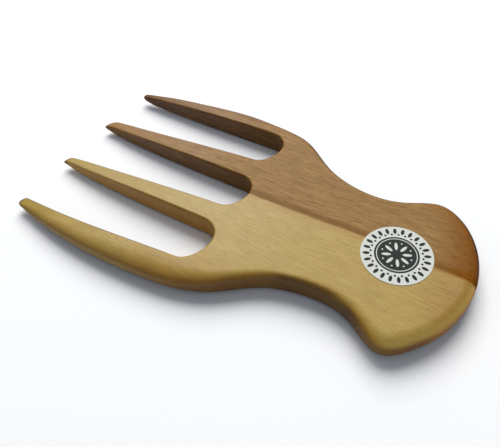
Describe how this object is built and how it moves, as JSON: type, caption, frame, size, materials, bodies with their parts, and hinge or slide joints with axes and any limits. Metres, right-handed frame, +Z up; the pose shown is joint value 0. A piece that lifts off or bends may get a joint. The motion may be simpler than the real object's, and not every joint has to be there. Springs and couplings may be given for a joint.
{
  "type": "hair pick",
  "caption": "Flat hair pick carved from one board of wood, with long tapering prongs, wide round-ended slots, a flared handle and a round paper label.",
  "frame": {"origin": "on the flat underside, below the middle of the palm between the slots and the waist", "axes": "+X along the long axis towards the handle's end, +Y towards the far side, +Z up from the underside"},
  "size_m": [0.1763, 0.096, 0.0102],
  "materials": {
    "carved_wood": "satin, waxed, two-toned grain",
    "adhesive_film": "clear film",
    "label_paper": "matte coated",
    "label_ink": "matte print"
  },
  "bodies": {
    "root": {"pick_body": "carved_wood", "label_adhesive": "adhesive_film", "label_paper": "label_paper", "label_print": "label_ink"}
  },
  "joints": []
}
